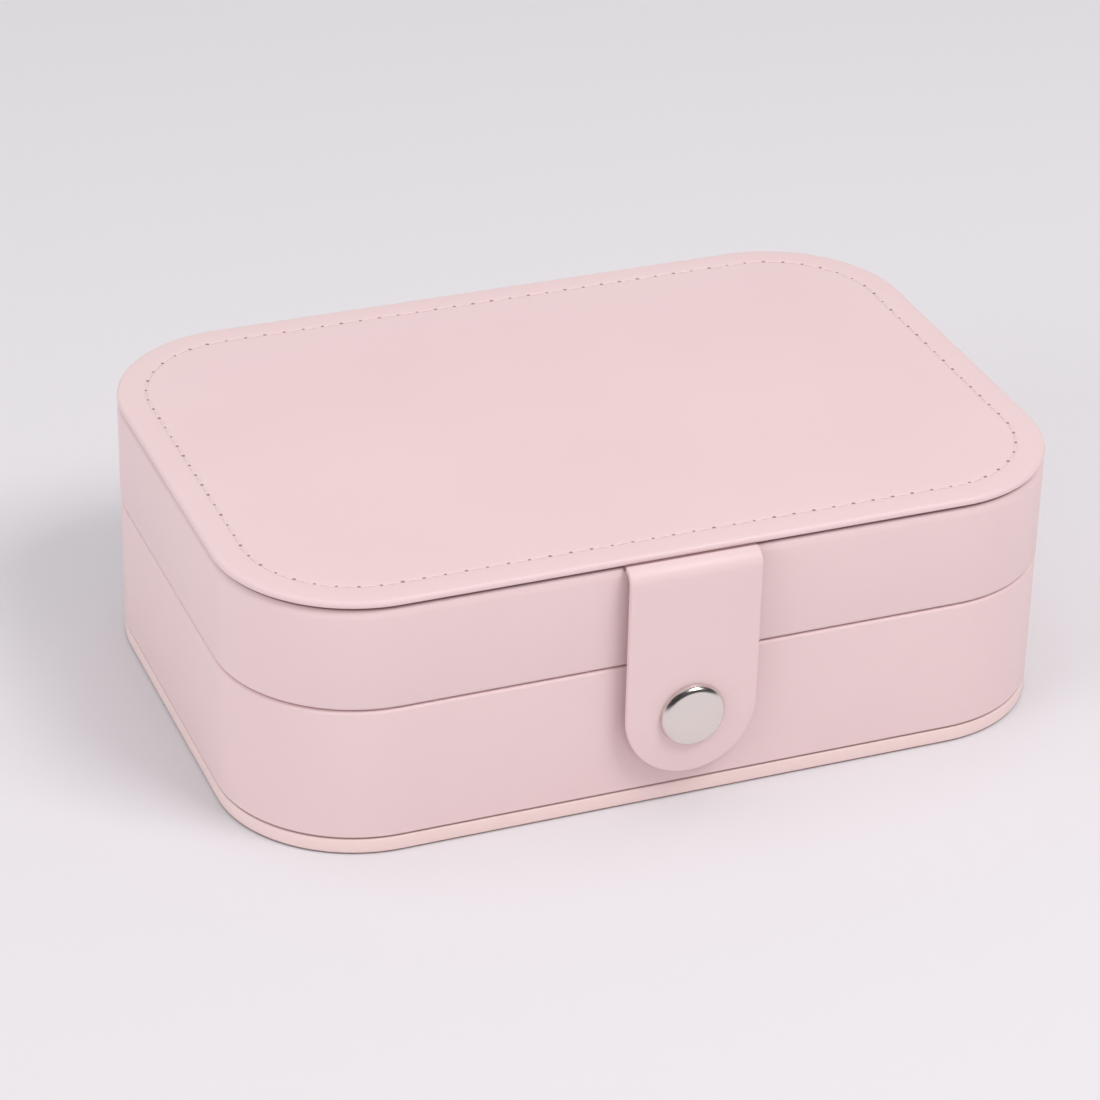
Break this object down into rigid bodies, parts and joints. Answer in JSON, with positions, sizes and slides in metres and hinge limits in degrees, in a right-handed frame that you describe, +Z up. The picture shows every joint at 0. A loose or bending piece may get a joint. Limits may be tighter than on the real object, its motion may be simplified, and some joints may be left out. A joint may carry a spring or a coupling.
{
  "type": "jewellery case",
  "caption": "Flat rectangular leather jewellery case with round corners, a lid hinged at the back, a strap with a press stud, and a lift-out tray.",
  "frame": {"origin": "middle of the underside of the case, without the strap", "axes": "+X along the width, -Y towards the front with the strap, +Z up"},
  "size_m": [0.165, 0.1182, 0.0535],
  "materials": {
    "pink_leather": "smooth satin",
    "velvet": "short pile",
    "grey_board": "matt card",
    "foam": "matt foam",
    "pocket_fabric": "soft gathered velvet",
    "elastic": "ribbed",
    "nickel": "bright plated",
    "chrome": "polished"
  },
  "bodies": {
    "base": {"base_bottom_cover": "pink_leather", "base_floor_board": "grey_board", "base_wall_board": "grey_board", "base_wall_cover": "pink_leather", "base_collar": "velvet", "base_floor_lining": "velvet", "lower_divider_long": "velvet", "lower_divider_left": "velvet", "lower_divider_right": "velvet", "snap_stud": "nickel", "stud_rivet": "nickel", "hinge_spine": "pink_leather"},
    "lid": {"lid_top_cover": "pink_leather", "lid_foam_pad": "foam", "lid_top_board": "grey_board", "lid_wall_board": "grey_board", "lid_wall_cover": "pink_leather", "lid_wall_lining": "velvet", "lid_ceiling_lining": "velvet", "lid_pocket": "pocket_fabric", "pocket_elastic": "elastic", "hook_bar": "pink_leather", "necklace_hooks": "nickel", "hook_rivets": "nickel", "strap_root": "pink_leather"},
    "strap": {"closure_strap": "pink_leather", "snap_cap": "chrome", "snap_socket": "nickel"},
    "tray": {"tray_shell": "velvet", "tray_floor_lining": "velvet", "tray_divider_left": "velvet", "tray_divider_right": "velvet", "tray_cross_divider": "velvet", "ring_rolls": "velvet", "tray_lift_tabs": "pink_leather"}
  },
  "joints": [
    {"name": "lid_hinge", "type": "hinge", "parent": "base", "child": "lid", "pos_m": [0, 0.0565, 0.0307], "axis": [-1, 0, 0], "range_deg": [0, 110], "deforming": ["hinge_spine"]},
    {"name": "strap_swing", "type": "hinge", "parent": "lid", "child": "strap", "pos_m": [0, -0.05975, 0.04908], "axis": [-1, 0, 0], "range_deg": [0, 100]},
    {"name": "tray_slide", "type": "slide", "parent": "base", "child": "tray", "axis": [0, 0, 1], "range_m": [0, 0.008]}
  ]
}
